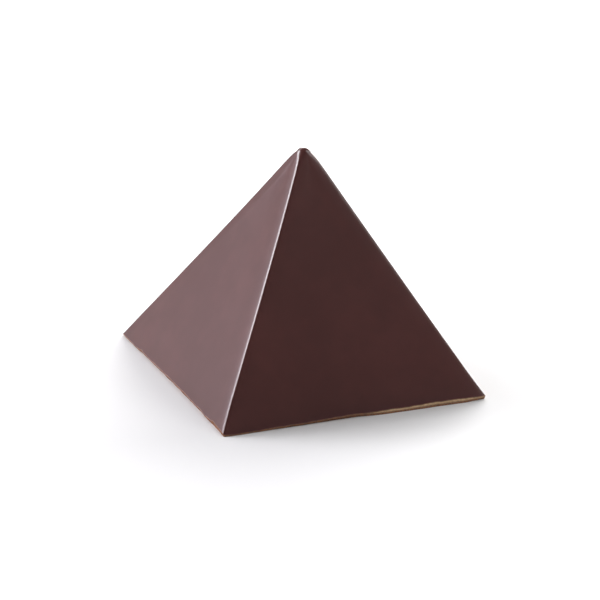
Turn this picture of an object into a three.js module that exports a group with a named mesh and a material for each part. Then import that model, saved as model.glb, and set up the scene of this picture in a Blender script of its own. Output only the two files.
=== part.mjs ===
// A solid pyramid of dark chocolate, cast in a mould and scraped level at its base.
//
// Millimetres, Z up. The origin is the middle of the base, on the plane that the piece stands on.
// Side 0 faces -Y, side 1 faces +X, side 2 faces +Y and side 3 faces -X. A place on the way round
// is one number, u: its whole part is the side, and its fraction runs along that side and then
// round the ridge that follows it, anticlockwise seen from above. One whole step of u is as long
// as the base is wide.
//
// The cast body is shaped upright. It is then leaned over a little, as its base was scraped
// unevenly, and closed with a flat base that lies level.

import * as THREE from "three";

// Overall form
const BASE_WIDTH = 60; // face to face, at the foot
const SHARP_HEIGHT = 50.7; // where the four faces would meet
const TIP_RADIUS = 1.85; // ball that rounds the tip
const EDGE_RISE = 0.6; // how much higher the cast body stands at its +X side than at its -X side
const TIP_DRIFT = [0.13, -0.06]; // how far the sharp tip stands off the middle, along X and Y

// Ridges: the level section turns tightly in the middle, and the faces beside it lean in softly
const RIDGE_REACH = 3; // from the unrounded corner to where the faces begin to turn
const RIDGE_TIGHTNESS = 5.7; // the middle of the turn has a radius of the square root of 2 over this
const SHOULDER_DROP = 0.09;
const SHOULDER_WIDTH = 0.9;
const REACH_EASE = 2.4; // half-widths below the tip's ball over which the reach grows
const TIP_BLEND = 0.46; // and over which the ball's round section turns into the ridges' own

// How the faces depart from flat, as cast chocolate shrinks in its mould
const SIDE_SAG = [0.02, 0.12, 0.12, 0.33]; // deepest inward fall of each side
const SAG_SKEW = 0.72; // below 1, the deepest place lies above the middle
const FACE_DISH = 0.06; // hollow across the middle of each face
const FOOT_FLARE = [0.2, 0.2, 0.05, -0.16]; // how far each side turns out again at its foot
const FLARE_HEIGHT = 7;

// The lip, where the cast surface ends: its height up the cast body
const LIP_HEIGHT = 0.5;
const LIP_ARCH = [0, 0.25, 0.25, 0.56]; // extra height in the middle of each side
const LIP_RAGGED = 0.05;
const RAGGED_WAVES = [
  { waves: 7, phase: 0.13, share: 0.4 },
  { waves: 13, phase: 0.57, share: 0.35 },
  { waves: 23, phase: 0.81, share: 0.25 },
];
// Places where the lip was cut away higher or left lower
const LIP_CHANGES = [
  { at: 0.01, width: 9, rise: -0.13 },
  { at: 0.4, width: 11, rise: 0.18 },
  { at: 0.56, width: 4, rise: 0.08 },
  { at: 0.77, width: 14, rise: 0.1 },
  { at: 0.92, width: 8, rise: -0.15 },
  { at: 1.31, width: 2.2, rise: 0.2 },
  { at: 1.65, width: 6, rise: 0.16 },
  { at: 2.16, width: 1.6, rise: 0.22 },
  { at: 2.54, width: 4, rise: 0.18 },
  { at: 2.8, width: 9, rise: -0.1 },
  { at: 3, width: 8, rise: 0.15 },
  { at: 3.15, width: 1.4, rise: 0.18 },
  { at: 3.16, width: 6, rise: 0.11 },
  { at: 3.58, width: 9, rise: 0.03 },
  { at: 3.73, width: 2.4, rise: 0.11 },
  { at: 3.83, width: 5, rise: 0.08 },
  { at: 3.86, width: 1.6, rise: 0.2 },
  { at: 3.9, width: 7, rise: 0.35 },
];

// The scraped bevel, from the lip down to the base: how far the base's edge lies inside the lip, or
// outside it where the number is negative
const BEVEL_INSETS = [
  { at: 0, inset: 0 },
  { at: 0.1, inset: 0.15 },
  { at: 0.3, inset: 0.35 },
  { at: 0.42, inset: 0.4 },
  { at: 0.56, inset: -0.3 },
  { at: 0.85, inset: -0.35 },
  { at: 0.93, inset: 0.15 },
  { at: 1.1, inset: 0.15 },
  { at: 1.5, inset: 0.3 },
  { at: 1.9, inset: 0 },
  { at: 2.3, inset: -0.3 },
  { at: 2.7, inset: 0.1 },
  { at: 3, inset: 0.3 },
  { at: 3.3, inset: 0.45 },
  { at: 3.7, inset: 0.45 },
  { at: 3.9, inset: 0.2 },
];
const BEVEL_RAGGED = 0.03;
const BEVEL_RAGGED_SHIFT = 0.37; // so that the base's edge wanders apart from the lip

// How finely the surface is divided
const RIDGE_SHARE = 0.1; // share of u's fraction that runs round a ridge
const RIDGE_STEPS = 6;
const MIDDLE_PACE = 0.2; // below 1, the steps round a ridge crowd in the middle of its turn
const TIP_RINGS = 4;
const FACE_RINGS = 22;
const FACE_CELLS = 26; // along a side, at the foot of the plain face
const FACE_RING_CROWDING = 1.3; // above 1, rings crowd towards the tip
// Rings of the foot: rise over the lip, how far each follows the lip's ups and downs, cells a side
const FOOT_RINGS = [
  { rise: 0, follow: 1, cells: 72 },
  { rise: 0.4, follow: 1, cells: 72 },
  { rise: 1.2, follow: 0.6, cells: 48 },
  { rise: 2.8, follow: 0.2, cells: 36 },
];
// Rings of the underside: how far each lies inside the lip, cells a side
const UNDERSIDE_RINGS = [
  { inset: 13, cells: 8 },
  { inset: 2.2, cells: 36 },
];

const CHOCOLATE = { color: 0x5c3937, roughness: 0.38, metalness: 0 };

const HALF = BASE_WIDTH / 2;
const FACE_LEAN = Math.atan2(HALF, SHARP_HEIGHT); // of a face, from upright
const TIP_WIDTH = TIP_RADIUS * Math.cos(FACE_LEAN); // half-width where the ball meets the faces
const TIP_JOIN = SHARP_HEIGHT * (1 - TIP_WIDTH / HALF);
const TIP_CENTRE = SHARP_HEIGHT - TIP_RADIUS / Math.sin(FACE_LEAN);
const BODY_LEAN = Math.asin(EDGE_RISE / BASE_WIDTH);
const LEAN_AXIS = new THREE.Vector3(0, -1, 0);

// Outward direction of a side, as it lies level
function outward(side) {
  const angle = ((side % 4) - 1) * (Math.PI / 2);
  return new THREE.Vector2(Math.round(Math.cos(angle)), Math.round(Math.sin(angle)));
}

const OUTWARD = [0, 1, 2, 3].map(outward);

// Half-width of the pyramid with flat faces and no rounding
function plainWidth(z) {
  return HALF * (1 - z / SHARP_HEIGHT);
}

// Inward fall between tip and foot, from 0 to 1
function sagAt(z) {
  const down = Math.min(1, Math.max(0, 1 - z / TIP_JOIN));
  return Math.sin(Math.PI * down ** SAG_SKEW);
}

// Distance of one side from the axis
function sideDistance(side, z) {
  const flare = Math.max(0, 1 - z / FLARE_HEIGHT) ** 2;
  return plainWidth(z) - SIDE_SAG[side] * sagAt(z) + FOOT_FLARE[side] * flare;
}

// How much wider the body is than the tip's ball, on each side
function widthUnderTip(z) {
  return Math.max(0, plainWidth(z) - TIP_WIDTH);
}

// Distance from the unrounded corner to where the faces begin to turn
function ridgeReach(z) {
  const grown = 1 - Math.exp(-widthUnderTip(z) / REACH_EASE);
  return THREE.MathUtils.lerp(TIP_WIDTH, RIDGE_REACH, grown);
}

function softplus(q) {
  return Math.log1p(Math.exp(q));
}

// How far a ridge's level section lies inside the side before it and the side after it, at a
// turn from 0 to 1: softly curved where it is a ridge, and a quarter circle at the tip's ball
function ridgeInsets(turn, z) {
  const reach = ridgeReach(z);
  const spread = 1 - 2 * turn;
  const end = RIDGE_TIGHTNESS * reach;
  const q = end * (MIDDLE_PACE * spread + (1 - MIDDLE_PACE) * spread ** 3);
  const before = (softplus(-q) - softplus(-end)) / RIDGE_TIGHTNESS;
  const after = (softplus(q) - softplus(-end)) / RIDGE_TIGHTNESS;
  const shoulder = (distance) =>
    SHOULDER_DROP * (Math.exp(-distance / SHOULDER_WIDTH) - Math.exp(-reach / SHOULDER_WIDTH));
  const ridge = new THREE.Vector2(before + shoulder(after), after + shoulder(before));
  const angle = (turn * Math.PI) / 2;
  const ball = new THREE.Vector2(1 - Math.cos(angle), 1 - Math.sin(angle)).multiplyScalar(reach);
  return ridge.lerp(ball, Math.exp(-widthUnderTip(z) / TIP_BLEND));
}

// Point of the upright cast surface at u and height z, drawn in by inset
function wallPoint(u, z, inset = 0) {
  const side = Math.floor(u) % 4;
  const next = (side + 1) % 4;
  const part = u - Math.floor(u);
  const edge = [0, 1, 2, 3].map((k) => sideDistance(k, z) - inset);
  const faceEnd = ridgeInsets(0, z).y;
  let out = edge[side];
  let along = 0;
  if (part < 1 - RIDGE_SHARE) {
    const way = part / (1 - RIDGE_SHARE);
    out -= FACE_DISH * sagAt(z) * (1 - (2 * way - 1) ** 2);
    along = THREE.MathUtils.lerp(faceEnd - edge[(side + 3) % 4], edge[next] - faceEnd, way);
  } else {
    const insets = ridgeInsets((part - 1 + RIDGE_SHARE) / RIDGE_SHARE, z);
    out -= insets.x;
    along = edge[next] - insets.y;
  }
  const spot = new THREE.Vector2();
  spot.addScaledVector(OUTWARD[side], out);
  spot.addScaledVector(OUTWARD[next], along);
  return new THREE.Vector3(spot.x, spot.y, z);
}

// Moves a point of the upright body as its tip drifts and the body leans
function leaned(point) {
  const drift = point.z / SHARP_HEIGHT;
  point.x += TIP_DRIFT[0] * drift;
  point.y += TIP_DRIFT[1] * drift;
  return point.applyAxisAngle(LEAN_AXIS, BODY_LEAN);
}

// Small ups and downs along the lip, from -1 to 1
function raggedAt(u) {
  return RAGGED_WAVES.reduce(
    (sum, { waves, phase, share }) => sum + share * Math.sin(2 * Math.PI * (waves * u + phase)),
    0,
  );
}

function lipHeight(u) {
  const side = Math.floor(u) % 4;
  const arch = LIP_ARCH[side] * Math.sin(Math.PI * (u - Math.floor(u)));
  let height = LIP_HEIGHT + arch + LIP_RAGGED * raggedAt(u);
  for (const { at, width, rise } of LIP_CHANGES) {
    const off = ((u - at + 6) % 4) - 2; // the short way round
    height += rise * Math.exp(-(((off * BASE_WIDTH) / (width / 2)) ** 2));
  }
  return height;
}

// How far the base's edge lies inside the lip at u
function bevelInset(u) {
  const place = u % 4;
  const from = BEVEL_INSETS.findLast(({ at }) => at <= place);
  const to = BEVEL_INSETS.find(({ at }) => at > place) ?? { at: 4, inset: BEVEL_INSETS[0].inset };
  const share = THREE.MathUtils.smoothstep(place, from.at, to.at);
  const inset = THREE.MathUtils.lerp(from.inset, to.inset, share);
  return inset + BEVEL_RAGGED * raggedAt(u + BEVEL_RAGGED_SHIFT);
}

// Point of the level base, inside the lip by inset
function basePoint(u, inset) {
  return leaned(wallPoint(u, lipHeight(u), inset)).setZ(0);
}

// The places of one ring's points: cells along each side, then steps round each ridge
function ringPlaces(cells) {
  const places = [];
  for (let side = 0; side < 4; side++) {
    for (let i = 0; i < cells; i++) {
      places.push(side + (i / cells) * (1 - RIDGE_SHARE));
    }
    for (let i = 0; i < RIDGE_STEPS; i++) {
      places.push(side + 1 - RIDGE_SHARE + (i / RIDGE_STEPS) * RIDGE_SHARE);
    }
  }
  return places;
}

// A closed surface built ring by ring, from the middle of the underside to the tip
class RingSurface {
  constructor() {
    this.points = [];
    this.triangles = [];
    this.last = null;
  }

  addPoint(point) {
    this.points.push(point.x, point.y, point.z);
    return this.points.length / 3 - 1;
  }

  start(point) {
    this.centre = this.addPoint(point);
  }

  addRing(places, pointAt) {
    const ring = places.map((u) => ({ u, index: this.addPoint(pointAt(u)) }));
    if (this.last) {
      this.stitch(this.last, ring);
    } else {
      ring.forEach((a, i) => {
        this.triangles.push(this.centre, ring[(i + 1) % ring.length].index, a.index);
      });
    }
    this.last = ring;
  }

  // Joins two rings, stepping along whichever one lags behind
  stitch(lower, upper) {
    const at = (ring, i) => ring[i % ring.length].u + 4 * Math.floor(i / ring.length);
    const index = (ring, i) => ring[i % ring.length].index;
    let i = 0;
    let j = 0;
    while (i < lower.length || j < upper.length) {
      const lowerMiddle = at(lower, i) + at(lower, i + 1);
      const upperMiddle = at(upper, j) + at(upper, j + 1);
      const stepLower = j === upper.length || (i < lower.length && lowerMiddle <= upperMiddle);
      if (stepLower) {
        this.triangles.push(index(lower, i), index(lower, i + 1), index(upper, j));
        i++;
      } else {
        this.triangles.push(index(lower, i), index(upper, j + 1), index(upper, j));
        j++;
      }
    }
  }

  finish(point) {
    const tip = this.addPoint(point);
    this.last.forEach((a, i) => {
      this.triangles.push(a.index, this.last[(i + 1) % this.last.length].index, tip);
    });
  }

  geometry() {
    const geometry = new THREE.BufferGeometry();
    geometry.setAttribute("position", new THREE.Float32BufferAttribute(this.points, 3));
    geometry.setIndex(this.triangles);
    geometry.computeVertexNormals();
    return geometry;
  }
}

function addUnderside(surface) {
  surface.start(new THREE.Vector3(0, 0, 0));
  for (const { inset, cells } of UNDERSIDE_RINGS) {
    surface.addRing(ringPlaces(cells), (u) => basePoint(u, inset));
  }
  surface.addRing(ringPlaces(FOOT_RINGS[0].cells), (u) => basePoint(u, bevelInset(u)));
}

// From the lip up to where the plain face begins
function addFoot(surface) {
  for (const { rise, follow, cells } of FOOT_RINGS) {
    const heightAt = (u) => rise + THREE.MathUtils.lerp(LIP_HEIGHT, lipHeight(u), follow);
    surface.addRing(ringPlaces(cells), (u) => leaned(wallPoint(u, heightAt(u))));
  }
}

function addFaces(surface) {
  const top = FOOT_RINGS[FOOT_RINGS.length - 1];
  const startWidth = plainWidth(top.rise + LIP_HEIGHT);
  for (let i = 1; i < FACE_RINGS; i++) {
    const left = (1 - i / FACE_RINGS) ** FACE_RING_CROWDING;
    const width = THREE.MathUtils.lerp(TIP_WIDTH, startWidth, left);
    const cells = Math.max(1, Math.round((FACE_CELLS * width) / HALF));
    const z = SHARP_HEIGHT * (1 - width / HALF);
    surface.addRing(ringPlaces(cells), (u) => leaned(wallPoint(u, z)));
  }
}

function addTip(surface) {
  for (let i = 0; i < TIP_RINGS; i++) {
    const lift = FACE_LEAN + (i / TIP_RINGS) * (Math.PI / 2 - FACE_LEAN);
    const radius = TIP_RADIUS * Math.cos(lift);
    const z = TIP_CENTRE + TIP_RADIUS * Math.sin(lift);
    surface.addRing(ringPlaces(0), (u) => {
      const turn = (u - Math.floor(u) - 1 + RIDGE_SHARE) / RIDGE_SHARE;
      const angle = (Math.floor(u) - 1 + turn) * (Math.PI / 2);
      return leaned(new THREE.Vector3(radius * Math.cos(angle), radius * Math.sin(angle), z));
    });
  }
  surface.finish(leaned(new THREE.Vector3(0, 0, TIP_CENTRE + TIP_RADIUS)));
}

function pyramidGeometry() {
  const surface = new RingSurface();
  addUnderside(surface);
  addFoot(surface);
  addFaces(surface);
  addTip(surface);
  return surface.geometry();
}

const pyramid = new THREE.Mesh(pyramidGeometry(), new THREE.MeshStandardMaterial(CHOCOLATE));
pyramid.name = "chocolate_pyramid";

const model = new THREE.Group();
model.add(pyramid);

export default model;
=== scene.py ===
"""A pyramid of dark chocolate, cast in a mould and scraped level at its base, on a pale floor.

Metres, Z up, with the origin in the middle of the base. Side 0 faces -Y, side 1 faces +X, side 2
faces +Y and side 3 faces -X. A place on the way round is one number, u: its whole part is the side,
and its fraction runs along that side and then round the ridge that follows it.
"""

import math

import bpy
import numpy as np
from mathutils import Matrix, Vector


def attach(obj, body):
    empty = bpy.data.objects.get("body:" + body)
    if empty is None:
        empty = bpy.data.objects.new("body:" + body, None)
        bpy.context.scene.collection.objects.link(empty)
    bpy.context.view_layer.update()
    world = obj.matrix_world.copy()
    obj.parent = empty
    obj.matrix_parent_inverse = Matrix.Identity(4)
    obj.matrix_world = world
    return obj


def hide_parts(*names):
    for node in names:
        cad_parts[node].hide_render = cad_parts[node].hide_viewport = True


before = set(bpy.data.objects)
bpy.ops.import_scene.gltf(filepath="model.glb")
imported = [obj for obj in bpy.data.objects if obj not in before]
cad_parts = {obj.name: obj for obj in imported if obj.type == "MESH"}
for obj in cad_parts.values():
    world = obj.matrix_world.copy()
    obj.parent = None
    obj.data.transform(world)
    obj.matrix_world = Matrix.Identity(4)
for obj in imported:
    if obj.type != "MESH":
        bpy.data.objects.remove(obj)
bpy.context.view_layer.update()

MM = 0.001
NODE = "chocolate_pyramid"

# Camera
CAMERA_AZIMUTH = math.radians(-24.963)
CAMERA_ELEVATION = math.radians(19.902)
CAMERA_ROLL = math.radians(2.224)
CAMERA_DISTANCE = 431.57 * MM  # to the middle of the base, along the line of sight
CAMERA_RIGHT = 0.604 * MM  # how far the camera is moved sideways and up in its own plane
CAMERA_UP = 14.198 * MM
SENSOR = 36.0
LENS = 120.0

# Overall form
BASE_WIDTH = 60 * MM
SHARP_HEIGHT = 50.7 * MM
TIP_RADIUS = 1.85 * MM
EDGE_RISE = 0.6 * MM  # how much higher the cast body stands at its +X side than at its -X side
TIP_DRIFT = np.array([0.13, -0.06]) * MM  # how far the sharp tip stands off the middle

# Ridges: the level section turns tightly in the middle, and the faces beside it lean in softly
RIDGE_REACH = 3 * MM
RIDGE_TIGHTNESS = 5.7 / MM
SHOULDER_DROP = 0.09 * MM
SHOULDER_WIDTH = 0.9 * MM
REACH_EASE = 2.4 * MM
TIP_BLEND = 0.46 * MM

# How the faces depart from flat
SIDE_SAG = np.array([0.02, 0.12, 0.12, 0.33]) * MM
SAG_SKEW = 0.72
FACE_DISH = 0.06 * MM
FOOT_FLARE = np.array([0.2, 0.2, 0.05, -0.16]) * MM
FLARE_HEIGHT = 7 * MM

# The lip, where the cast surface ends: its height up the cast body
LIP_HEIGHT = 0.5 * MM
LIP_ARCH = np.array([0, 0.25, 0.25, 0.56]) * MM
LIP_RAGGED = 0.05 * MM
RAGGED_WAVES = ((7, 0.13, 0.4), (13, 0.57, 0.35), (23, 0.81, 0.25))  # waves a side, phase, share
LIP_CHANGES = (  # place, width and rise of each spot that was cut away higher or left lower, in mm
    (0.01, 9, -0.13),
    (0.4, 11, 0.18),
    (0.56, 4, 0.08),
    (0.77, 14, 0.1),
    (0.92, 8, -0.15),
    (1.31, 2.2, 0.2),
    (1.65, 6, 0.16),
    (2.16, 1.6, 0.22),
    (2.54, 4, 0.18),
    (2.8, 9, -0.1),
    (3, 8, 0.15),
    (3.15, 1.4, 0.18),
    (3.16, 6, 0.11),
    (3.58, 9, 0.03),
    (3.73, 2.4, 0.11),
    (3.83, 5, 0.08),
    (3.86, 1.6, 0.2),
    (3.9, 7, 0.35),
)

# The scraped bevel from the lip down to the base: how far the base's edge lies inside the lip,
# or outside it where the number is negative
BEVEL_INSETS = (  # place, inset in mm
    (0, 0),
    (0.1, 0.15),
    (0.3, 0.35),
    (0.42, 0.4),
    (0.56, -0.3),
    (0.85, -0.35),
    (0.93, 0.15),
    (1.1, 0.15),
    (1.5, 0.3),
    (1.9, 0),
    (2.3, -0.3),
    (2.7, 0.1),
    (3, 0.3),
    (3.3, 0.45),
    (3.7, 0.45),
    (3.9, 0.2),
    (4, 0),
)
BEVEL_RAGGED = 0.03 * MM
BEVEL_RAGGED_SHIFT = 0.37  # so that the base's edge wanders apart from the lip
SCRAPE_PALENESS = (  # place, and how pale the scrape is there, just under the lip
    (0, 0.2),
    (0.45, 0.2),
    (0.6, 1),
    (0.86, 1),
    (0.95, 0.3),
    (1.2, 0.1),
    (1.6, 0.35),
    (2, 0.1),
    (2.4, 0.35),
    (2.8, 0.1),
    (3, 0),
    (3.85, 0),
    (4, 0.2),
)
SCRAPE_REACH = 0.25 * MM  # how far over the lip the cast skin is bruised

# How finely the surface is divided
RIDGE_SHARE = 0.1  # share of u's fraction that runs round a ridge
RIDGE_STEPS = 32
MIDDLE_PACE = 0.2  # below 1, the steps round a ridge crowd in the middle of its turn
TIP_RINGS = 14
UNDERSIDE_RINGS = 30
UNDERSIDE_START = 2.2 * MM  # how far inside the lip the plain part of the underside begins
LIP_CELLS = 360  # cells along a side, at the lip, above it and on the plain face
MIDDLE_CELLS = 180
FACE_CELLS = 90
BEVEL_ROWS = 6
FOOT_RISES = np.array([0, 0.05, 0.12, 0.22, 0.4, 0.7, 1.1]) * MM
MIDDLE_RISES = np.array([1.6, 2.2, 2.9]) * MM
FOLLOW_HEIGHT = 3 * MM  # over this rise the rings cease to follow the lip's ups and downs
FACE_RINGS = 80
FACE_RING_CROWDING = 1.1  # above 1, rings crowd towards the tip
SHARP_ANGLE = math.radians(35)  # edges that turn by more are shaded as sharp

HALF = BASE_WIDTH / 2
FACE_LEAN = math.atan2(HALF, SHARP_HEIGHT)
TIP_WIDTH = TIP_RADIUS * math.cos(FACE_LEAN)
TIP_JOIN = SHARP_HEIGHT * (1 - TIP_WIDTH / HALF)
TIP_CENTRE = SHARP_HEIGHT - TIP_RADIUS / math.sin(FACE_LEAN)
BODY_LEAN = math.asin(EDGE_RISE / BASE_WIDTH)
OUTWARD = np.array([(0, -1), (1, 0), (0, 1), (-1, 0)], float)


def camera_axes(azimuth, elevation, roll):
    """Right, up and back directions of a camera that looks at the object and is rolled."""
    back = Vector((
        math.sin(azimuth) * math.cos(elevation),
        -math.cos(azimuth) * math.cos(elevation),
        math.sin(elevation),
    ))
    level = Vector((math.cos(azimuth), math.sin(azimuth), 0))
    upright = back.cross(level)
    right = level * math.cos(roll) + upright * math.sin(roll)
    up = upright * math.cos(roll) - level * math.sin(roll)
    return right, up, back


def add_camera():
    data = bpy.data.cameras.new("camera")
    data.lens = LENS
    data.sensor_width = SENSOR
    data.clip_start = 0.01
    data.clip_end = 20
    camera = bpy.data.objects.new("camera", data)
    bpy.context.collection.objects.link(camera)
    right, up, back = camera_axes(CAMERA_AZIMUTH, CAMERA_ELEVATION, CAMERA_ROLL)
    place = right * CAMERA_RIGHT + up * CAMERA_UP + back * CAMERA_DISTANCE
    camera.matrix_world = Matrix((
        (right.x, up.x, back.x, place.x),
        (right.y, up.y, back.y, place.y),
        (right.z, up.z, back.z, place.z),
        (0, 0, 0, 1),
    ))
    bpy.context.scene.camera = camera


# The shape


def plain_width(z):
    """Half-width of the sharp, flat-faced pyramid."""
    return HALF * (1 - z / SHARP_HEIGHT)


def sag_at(z):
    """Inward fall between tip and foot, from 0 to 1."""
    down = np.clip(1 - z / TIP_JOIN, 0, 1)
    return np.sin(np.pi * down**SAG_SKEW)


def side_distance(side, z):
    flare = np.clip(1 - z / FLARE_HEIGHT, 0, None) ** 2
    return plain_width(z) - SIDE_SAG[side] * sag_at(z) + FOOT_FLARE[side] * flare


def width_under_tip(z):
    """How much wider the body is than the tip's ball, on each side."""
    return np.clip(plain_width(z) - TIP_WIDTH, 0, None)


def ridge_reach(z):
    """Distance from the unrounded corner to where the faces begin to turn."""
    grown = 1 - np.exp(-width_under_tip(z) / REACH_EASE)
    return TIP_WIDTH + (RIDGE_REACH - TIP_WIDTH) * grown


def softplus(q):
    return np.logaddexp(0, q)


def ridge_insets(turn, z):
    """How far a ridge's level section lies inside the side before it and the side after it."""
    reach = ridge_reach(z)
    spread = 1 - 2 * turn
    end = RIDGE_TIGHTNESS * reach
    q = end * (MIDDLE_PACE * spread + (1 - MIDDLE_PACE) * spread**3)
    before = (softplus(-q) - softplus(-end)) / RIDGE_TIGHTNESS
    after = (softplus(q) - softplus(-end)) / RIDGE_TIGHTNESS

    def shoulder(distance):
        far = np.exp(-reach / SHOULDER_WIDTH)
        return SHOULDER_DROP * (np.exp(-distance / SHOULDER_WIDTH) - far)

    angle = turn * np.pi / 2
    ball = np.exp(-width_under_tip(z) / TIP_BLEND)
    off_before = before + shoulder(after)
    off_after = after + shoulder(before)
    off_before += (reach * (1 - np.cos(angle)) - off_before) * ball
    off_after += (reach * (1 - np.sin(angle)) - off_after) * ball
    return off_before, off_after


def wall_points(u, z, inset=0.0):
    """Points of the upright cast surface at places u and heights z, drawn in by inset."""
    z = np.broadcast_to(z, u.shape)
    side = np.floor(u).astype(int) % 4
    before, after = (side + 3) % 4, (side + 1) % 4
    part = u - np.floor(u)
    out_edge = side_distance(side, z) - inset
    low_edge = side_distance(before, z) - inset
    high_edge = side_distance(after, z) - inset
    face_end = ridge_insets(0.0, z)[1]
    way = np.clip(part / (1 - RIDGE_SHARE), 0, 1)
    turn = np.clip((part - 1 + RIDGE_SHARE) / RIDGE_SHARE, 0, 1)
    off_side, off_next = ridge_insets(turn, z)
    dish = FACE_DISH * sag_at(z) * (1 - (2 * way - 1) ** 2)
    on_ridge = part >= 1 - RIDGE_SHARE
    face_along = face_end - low_edge + (high_edge + low_edge - 2 * face_end) * way
    out = out_edge - np.where(on_ridge, off_side, dish)
    along = np.where(on_ridge, high_edge - off_next, face_along)
    flat = OUTWARD[side] * out[:, None] + OUTWARD[after] * along[:, None]
    return np.column_stack((flat, z))


def leaned(points):
    """The points as the tip drifts and the body leans over, with its +X side higher."""
    x, y, z = np.asarray(points, float).T
    x, y = x + TIP_DRIFT[0] * z / SHARP_HEIGHT, y + TIP_DRIFT[1] * z / SHARP_HEIGHT
    cos, sin = math.cos(BODY_LEAN), math.sin(BODY_LEAN)
    return np.column_stack((x * cos - z * sin, y, z * cos + x * sin))


def ragged_at(u):
    """Small ups and downs along the foot, from -1 to 1."""
    total = 0
    for waves, phase, share in RAGGED_WAVES:
        total = total + share * np.sin(2 * np.pi * (waves * u + phase))
    return total


def lip_height(u):
    """Height of the lip, where the cast surface ends."""
    side = np.floor(u).astype(int) % 4
    height = LIP_HEIGHT + LIP_ARCH[side] * np.sin(np.pi * (u % 1)) + LIP_RAGGED * ragged_at(u)
    for place, width, rise in LIP_CHANGES:
        off = ((u - place + 6) % 4 - 2) * BASE_WIDTH / (width * MM / 2)
        height = height + rise * MM * np.exp(-off * off)
    return height


def eased(table, u):
    """Value of a table of places and values, with soft steps between them."""
    places, values = np.array(table).T
    k = np.clip(np.searchsorted(places, u % 4, side="right") - 1, 0, len(places) - 2)
    share = (u % 4 - places[k]) / (places[k + 1] - places[k])
    share = share * share * (3 - 2 * share)
    return values[k] + (values[k + 1] - values[k]) * share


def bevel_inset(u):
    """How far the base's edge lies inside the lip."""
    return eased(BEVEL_INSETS, u) * MM + BEVEL_RAGGED * ragged_at(u + BEVEL_RAGGED_SHIFT)


def base_points(u, inset):
    """Points of the level base, inside the lip by inset."""
    points = leaned(wall_points(u, lip_height(u), inset))
    points[:, 2] = 0
    return points


def ring_places(cells):
    side_part = np.arange(cells) / max(cells, 1) * (1 - RIDGE_SHARE)
    ridge_part = 1 - RIDGE_SHARE + np.arange(RIDGE_STEPS) / RIDGE_STEPS * RIDGE_SHARE
    one = np.concatenate((side_part, ridge_part))
    return np.concatenate([side + one for side in range(4)])


class RingSurface:
    """A closed surface built ring by ring, from the middle of the underside to the tip."""

    def __init__(self, centre):
        self.points = [np.array([centre], float)]
        self.scraped = [np.full(1, 2.0)]
        self.count = 1
        self.triangles = []
        self.last = None

    def add_ring(self, u, points, scraped):
        first = self.count
        self.points.append(points)
        self.scraped.append(np.broadcast_to(scraped, u.shape))
        self.count += len(u)
        ring = (u, first)
        if self.last is None:
            n = len(u)
            self.triangles += [(0, first + (i + 1) % n, first + i) for i in range(n)]
        else:
            self.stitch(self.last, ring)
        self.last = ring

    def stitch(self, lower, upper):
        """Joins two rings, stepping along whichever one lags behind."""
        low_u, low_first = lower
        high_u, high_first = upper
        n, m = len(low_u), len(high_u)
        low_next = (low_u + np.append(low_u[1:], low_u[0] + 4)).tolist()
        high_next = (high_u + np.append(high_u[1:], high_u[0] + 4)).tolist()
        i = j = 0
        while i < n or j < m:
            a, b = low_first + i % n, high_first + j % m
            if j == m or (i < n and low_next[i] <= high_next[j]):
                i += 1
                self.triangles.append((a, low_first + i % n, b))
            else:
                j += 1
                self.triangles.append((a, high_first + j % m, b))

    def finish(self, tip):
        u, first = self.last
        n = len(u)
        self.points.append(np.array([tip], float))
        self.scraped.append(np.zeros(1))
        self.triangles += [(first + i, first + (i + 1) % n, self.count) for i in range(n)]
        self.count += 1


# In the attribute "scraped", the cast skin is 0, the scrape is 1 where it is dark and up to 2 where
# it is pale, and the underside is 2. On the bevel, the pale scrape falls back to 1 towards the
# base:
# this is painted shade under the lip.


def add_underside(surface):
    """From the middle out to near the base's edge."""
    for i in range(1, UNDERSIDE_RINGS + 1):
        width = (HALF - UNDERSIDE_START) * i / UNDERSIDE_RINGS
        u = ring_places(max(1, round(FACE_CELLS * width / HALF)))
        surface.add_ring(u, base_points(u, HALF - width), 2.0)


def add_bevel(surface):
    """From the base's edge up to just under the lip."""
    u = ring_places(LIP_CELLS)
    base = base_points(u, bevel_inset(u))
    lip = leaned(wall_points(u, lip_height(u)))
    paleness = eased(SCRAPE_PALENESS, u)
    for i in range(BEVEL_ROWS):
        share = i / BEVEL_ROWS
        # Where the scrape is pale, it is painted darker towards the base, as painted shade under
        # the lip.
        surface.add_ring(u, base + (lip - base) * share, 1 + paleness * share**2)


def add_foot(surface):
    """From the lip up to where the plain face begins."""
    paleness = eased(SCRAPE_PALENESS, ring_places(LIP_CELLS))
    for rises, cells in ((FOOT_RISES, LIP_CELLS), (MIDDLE_RISES, MIDDLE_CELLS)):
        u = ring_places(cells)
        for rise in rises:
            follow = max(0, 1 - rise / FOLLOW_HEIGHT)
            z = rise + LIP_HEIGHT + (lip_height(u) - LIP_HEIGHT) * follow
            bruised = max(0.0, 1 - rise / SCRAPE_REACH)
            scraped = bruised + paleness if rise == 0 else bruised
            surface.add_ring(u, leaned(wall_points(u, z)), scraped)


def add_faces(surface):
    """From the foot up to the tip's ball, with fewer cells as the faces narrow."""
    start_width = plain_width(MIDDLE_RISES[-1] + LIP_HEIGHT)
    for i in range(1, FACE_RINGS):
        left = (1 - i / FACE_RINGS) ** FACE_RING_CROWDING
        width = TIP_WIDTH + (start_width - TIP_WIDTH) * left
        u = ring_places(max(1, round(FACE_CELLS * width / HALF)))
        surface.add_ring(u, leaned(wall_points(u, SHARP_HEIGHT * (1 - width / HALF))), 0.0)


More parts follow.
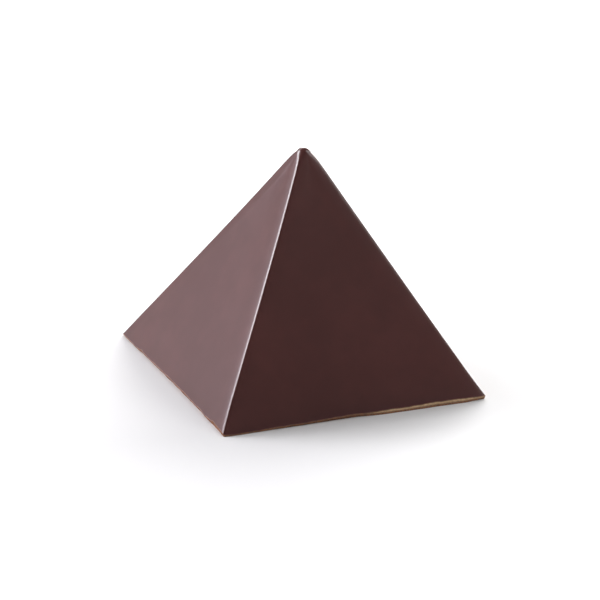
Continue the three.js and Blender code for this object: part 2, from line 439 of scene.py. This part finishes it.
def add_tip(surface):
    """The ball at the top, with no cells but those round the ridges."""
    u = ring_places(0)
    angle = (np.floor(u) - 1 + (u - np.floor(u) - 1 + RIDGE_SHARE) / RIDGE_SHARE) * np.pi / 2
    for i in range(TIP_RINGS):
        lift = FACE_LEAN + i / TIP_RINGS * (math.pi / 2 - FACE_LEAN)
        radius = TIP_RADIUS * math.cos(lift)
        z = np.full(u.shape, TIP_CENTRE + TIP_RADIUS * math.sin(lift))
        ring = np.column_stack((radius * np.cos(angle), radius * np.sin(angle), z))
        surface.add_ring(u, leaned(ring), 0.0)
    surface.finish(leaned([(0, 0, TIP_CENTRE + TIP_RADIUS)])[0])


def build_surface():
    surface = RingSurface((0, 0, 0))
    add_underside(surface)
    add_bevel(surface)
    add_foot(surface)
    add_faces(surface)
    add_tip(surface)
    return surface


def add_pyramid(material):
    surface = build_surface()
    mesh = bpy.data.meshes.new("cast_pyramid")
    mesh.from_pydata(np.vstack(surface.points).tolist(), [], surface.triangles)
    mask = mesh.attributes.new("scraped", "FLOAT", "POINT")
    mask.data.foreach_set("value", np.concatenate(surface.scraped).astype(np.float32))
    mesh.materials.append(material)
    mesh.shade_smooth()
    mesh.set_sharp_from_angle(angle=SHARP_ANGLE)
    mesh.validate()
    piece = bpy.data.objects.new("cast_pyramid", mesh)
    bpy.context.collection.objects.link(piece)
    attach(piece, "root")
    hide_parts(NODE)
    print("pyramid:", len(mesh.polygons), "triangles")
    return piece


# Materials


def add_node(tree, kind, inputs=None, **settings):
    made = tree.nodes.new(kind)
    for name, value in settings.items():
        setattr(made, name, value)
    for name, value in (inputs or {}).items():
        if isinstance(value, bpy.types.NodeSocket):
            tree.links.new(value, made.inputs[name])
        else:
            made.inputs[name].default_value = value
    return made


CAST_DARK = (0.101, 0.0385, 0.0355, 1)
CAST_RED = (0.113, 0.041, 0.0375, 1)
# The dark scrape colours are the real scraped edge, and also the painted shade at the foot of the
# pale bevel.
EDGE_DEEP_AND_SHADE = (0.2, 0.09, 0.05, 1)  # the dark part of the scrape
EDGE_BROWN_AND_SHADE = (0.34, 0.14, 0.06, 1)
PALE_BARE = (0.66, 0.43, 0.24, 1)  # the pale part of the scrape
PALE_DRY = (0.9, 0.64, 0.38, 1)
CAST_ROUGHNESS = 0.23
CLOUD_ROUGHNESS = 0.006  # how far the clouds and the mottle shift it, either way
MOTTLE_ROUGHNESS = 0.008
SCRAPED_ROUGHNESS = 0.68
CHOCOLATE_IOR = 1.5
FULLY_PALE = 1.7  # value of the attribute from which the scrape is at its palest

# Noises: scale, detail and roughness, and the range of values that shows in the cast skin
CLOUD = (45, 3, 0.55)
MOTTLE = (260, 4, 0.6)
GRAIN = (1100, 3, 0.6)
CRUMBLE = (1500, 5, 0.7)
SCRATCHES = (220, 4, 0.65)
SCRATCH_STRETCH = (1.0, 14.0, 6.0)
CLOUD_RANGE = (0.35, 0.65)
MOTTLE_RANGE = (0.3, 0.7)
RED_MOTTLE = 0.25  # how far the mottle shifts the red clouds, either way

# Depths of the relief that is bump alone
CLOUD_DEPTH = 0.0025 * MM
MOTTLE_DEPTH = 0.0015 * MM
GRAIN_DEPTH = 0.003 * MM
CRUMBLE_DEPTH = 0.12 * MM
SCRATCH_DEPTH = 0.08 * MM


def stretched(tree, coordinates, scale):
    """Coordinates scaled apart along X, Y and Z, for marks that run one way."""
    made = add_node(tree, "ShaderNodeVectorMath", {0: coordinates, 1: scale}, operation="MULTIPLY")
    return made.outputs["Vector"]


def add_noise(tree, coordinates, scale, detail, roughness):
    """Noise with features of about 1/scale metres, from 0 to 1."""
    made = add_node(tree, "ShaderNodeTexNoise", {
        "Vector": coordinates,
        "Scale": scale,
        "Detail": detail,
        "Roughness": roughness,
    })
    return made.outputs["Fac"]


def remap(tree, value, low, high, to_low=0.0, to_high=1.0):
    made = add_node(tree, "ShaderNodeMapRange", {
        "Value": value,
        "From Min": low,
        "From Max": high,
        "To Min": to_low,
        "To Max": to_high,
    }, interpolation_type="SMOOTHSTEP")
    return made.outputs["Result"]


def math_node(tree, operation, a, b):
    return add_node(tree, "ShaderNodeMath", {0: a, 1: b}, operation=operation).outputs[0]


MIX_SOCKETS = {"RGBA": (6, 7, 2), "FLOAT": (2, 3, 0), "VECTOR": (4, 5, 1)}  # of a, b and the result


def blend(tree, factor, a, b, kind="RGBA"):
    """Colour, number or direction mixed from a to b by factor."""
    made = tree.nodes.new("ShaderNodeMix")
    made.data_type = kind
    a_index, b_index, result = MIX_SOCKETS[kind]
    for index, value in ((0, factor), (a_index, a), (b_index, b)):
        if isinstance(value, bpy.types.NodeSocket):
            tree.links.new(value, made.inputs[index])
        else:
            made.inputs[index].default_value = value
    return made.outputs[result]


def add_bump(tree, height, depth, normal=None):
    inputs = {"Height": height, "Distance": depth, "Strength": 1.0}
    if normal is not None:
        inputs["Normal"] = normal
    return add_node(tree, "ShaderNodeBump", inputs).outputs["Normal"]


def chocolate_material():
    """Satin cast chocolate, scraped and dry where the point attribute says so."""
    material = bpy.data.materials.new("dark_chocolate")
    material.use_nodes = True
    tree = material.node_tree
    shader = tree.nodes["Principled BSDF"]
    place = add_node(tree, "ShaderNodeTexCoord").outputs["Object"]
    mask = add_node(tree, "ShaderNodeAttribute", attribute_name="scraped").outputs["Fac"]
    scraped = remap(tree, mask, 0.0, 1.0)
    pale = remap(tree, mask, 1.0, FULLY_PALE)

    cloud = add_noise(tree, place, *CLOUD)
    mottle = add_noise(tree, place, *MOTTLE)
    grain = add_noise(tree, place, *GRAIN)
    crumble = add_noise(tree, place, *CRUMBLE)
    scratches = add_noise(tree, stretched(tree, place, SCRATCH_STRETCH), *SCRATCHES)

    red_clouds = remap(tree, cloud, *CLOUD_RANGE)
    red_mottle = remap(tree, mottle, *MOTTLE_RANGE, -RED_MOTTLE, RED_MOTTLE)
    cast = blend(tree, math_node(tree, "ADD", red_clouds, red_mottle), CAST_DARK, CAST_RED)
    edge = blend(tree, remap(tree, crumble, 0.4, 0.6), EDGE_DEEP_AND_SHADE, EDGE_BROWN_AND_SHADE)
    dry = blend(tree, remap(tree, crumble, 0.35, 0.62), PALE_BARE, PALE_DRY)
    dry = blend(tree, remap(tree, scratches, 0.4, 0.6, 0.0, 0.5), dry, PALE_BARE)
    # Towards the base of the pale bevel, the dark scrape colour stands in as painted shade under
    # the lip.
    colour = blend(tree, scraped, cast, blend(tree, pale, edge, dry))
    tree.links.new(colour, shader.inputs["Base Color"])

    satin_low, satin_high = CAST_ROUGHNESS - CLOUD_ROUGHNESS, CAST_ROUGHNESS + CLOUD_ROUGHNESS
    satin_clouds = remap(tree, cloud, *CLOUD_RANGE, satin_low, satin_high)
    satin_mottle = remap(tree, mottle, *MOTTLE_RANGE, -MOTTLE_ROUGHNESS, MOTTLE_ROUGHNESS)
    satin = math_node(tree, "ADD", satin_mottle, satin_clouds)
    roughness = blend(tree, scraped, satin, SCRAPED_ROUGHNESS, "FLOAT")
    tree.links.new(roughness, shader.inputs["Roughness"])
    shader.inputs["IOR"].default_value = CHOCOLATE_IOR

    skin = add_bump(tree, cloud, CLOUD_DEPTH)
    skin = add_bump(tree, mottle, MOTTLE_DEPTH, skin)
    skin = add_bump(tree, grain, GRAIN_DEPTH, skin)
    torn = add_bump(tree, crumble, CRUMBLE_DEPTH)
    torn = add_bump(tree, scratches, SCRATCH_DEPTH, torn)
    tree.links.new(blend(tree, scraped, skin, torn, "VECTOR"), shader.inputs["Normal"])
    return material


FLOOR_WHITE = (0.85, 0.85, 0.85, 1)
FLOOR_ROUGHNESS = 0.8
FLOOR_SPECULAR = 0.2
FLOOR_REACH = 4.0


def add_floor():
    mesh = bpy.data.meshes.new("floor")
    corners = [
        (-FLOOR_REACH, -FLOOR_REACH, 0),
        (FLOOR_REACH, -FLOOR_REACH, 0),
        (FLOOR_REACH, FLOOR_REACH, 0),
        (-FLOOR_REACH, FLOOR_REACH, 0),
    ]
    mesh.from_pydata(corners, [], [(0, 1, 2, 3)])
    material = bpy.data.materials.new("floor")
    material.use_nodes = True
    shader = material.node_tree.nodes["Principled BSDF"]
    shader.inputs["Base Color"].default_value = FLOOR_WHITE
    shader.inputs["Roughness"].default_value = FLOOR_ROUGHNESS
    shader.inputs["Specular IOR Level"].default_value = FLOOR_SPECULAR
    mesh.materials.append(material)
    floor = bpy.data.objects.new("floor", mesh)
    bpy.context.collection.objects.link(floor)


# Light. Azimuths are counted from +X towards +Y, in degrees.

LIGHT_DISTANCE = 3.0
NEUTRAL = (1, 1, 1)
COOL_WHITE = (0.985, 1, 1.035)
VIOLET_WHITE = (1, 0.92, 0.99)
DEEPER_VIOLET_WHITE = (1, 0.93, 1.06)
ROSE_WHITE = (1, 0.84, 0.87)
STRIP_WAY = Vector((-0.69, 0.4, 0.6)).normalized()
STRIP_LONG_WAY = Vector((0.107, -0.681, 0.342))
LOW_LEFT_LONG_WAY = Vector((-0.317, -0.438, 0.232))
GLOWS = (  # azimuth, strength, colour, and whether it stays low along the horizon
    (90, 0.58, (1, 0.88, 0.9), True),
    (315, 0.075, (1.05, 0.97, 0.97), False),
)
LOW_GLOW_FROM, LOW_GLOW_TO = 0.1, 0.6  # rise of a direction over which a low glow fades out


def towards(azimuth, elevation):
    """Direction from the object, with both angles in degrees."""
    a, e = math.radians(azimuth), math.radians(elevation)
    return Vector((math.cos(a) * math.cos(e), math.sin(a) * math.cos(e), math.sin(e)))


def add_area_light(name, way, width, height, power, colour, long_way=Vector((0, 0, 1))):
    """Softbox that faces the object, with its height along long_way."""
    data = bpy.data.lights.new(name, "AREA")
    data.shape = "RECTANGLE"
    data.size = width
    data.size_y = height
    data.energy = power
    data.color = colour
    light = bpy.data.objects.new(name, data)
    bpy.context.collection.objects.link(light)
    across = long_way.cross(way).normalized()
    up = way.cross(across)
    turn = Matrix((across, up, way)).transposed().to_4x4()
    light.matrix_world = Matrix.Translation(way * LIGHT_DISTANCE) @ turn
    return light


def vector_math(tree, operation, inputs):
    return add_node(tree, "ShaderNodeVectorMath", inputs, operation=operation).outputs


def add_world():
    """Soft glows of the pale room, each brightest at its own azimuth."""
    world = bpy.data.worlds.new("studio")
    bpy.context.scene.world = world
    world.use_nodes = True
    tree = world.node_tree
    way = add_node(tree, "ShaderNodeTexCoord").outputs["Generated"]
    height = add_node(tree, "ShaderNodeSeparateXYZ", {0: way}).outputs["Z"]
    low = remap(tree, height, LOW_GLOW_FROM, LOW_GLOW_TO, 1.0, 0.0)
    total = (0, 0, 0)
    for azimuth, strength, colour, stays_low in GLOWS:
        aim = vector_math(tree, "DOT_PRODUCT", {0: way, 1: towards(azimuth, 0)})["Value"]
        glow = remap(tree, aim, 0.0, 1.0, 0.0, strength)
        if stays_low:
            glow = math_node(tree, "MULTIPLY", glow, low)
        tinted = vector_math(tree, "SCALE", {0: colour, "Scale": glow})["Vector"]
        total = vector_math(tree, "ADD", {0: total, 1: tinted})["Vector"]
    tree.links.new(total, tree.nodes["Background"].inputs["Color"])


def add_lights():
    """Softboxes: width and height in metres, then power in watts."""
    # A strip and a low panel along the directions that the front ridge mirrors
    add_area_light("strip", STRIP_WAY, 0.5, 2.0, 17.5, VIOLET_WHITE, STRIP_LONG_WAY)
    add_area_light(
        "low_left", towards(134, 17), 0.85, 0.9, 15.5, DEEPER_VIOLET_WHITE, LOW_LEFT_LONG_WAY
    )
    # A window and a dim panel over the horizon, which the -X face mirrors in part
    add_area_light("window", towards(136, 32), 1.4, 1.1, 62, COOL_WHITE)
    add_area_light("low_back", towards(116, 4), 1.6, 0.6, 0.6, ROSE_WHITE)
    # Lights for the floor
    add_area_light("behind", towards(90, 38), 1.4, 0.9, 14, NEUTRAL)
    add_area_light("back_right", towards(43, 20), 3.4, 1.8, 190, NEUTRAL)
    add_area_light("upper_right", towards(335, 52), 1.7, 1.7, 33, NEUTRAL)


bpy.context.scene.view_settings.view_transform = "Standard"

add_camera()
add_pyramid(chocolate_material())
add_floor()
add_world()
add_lights()
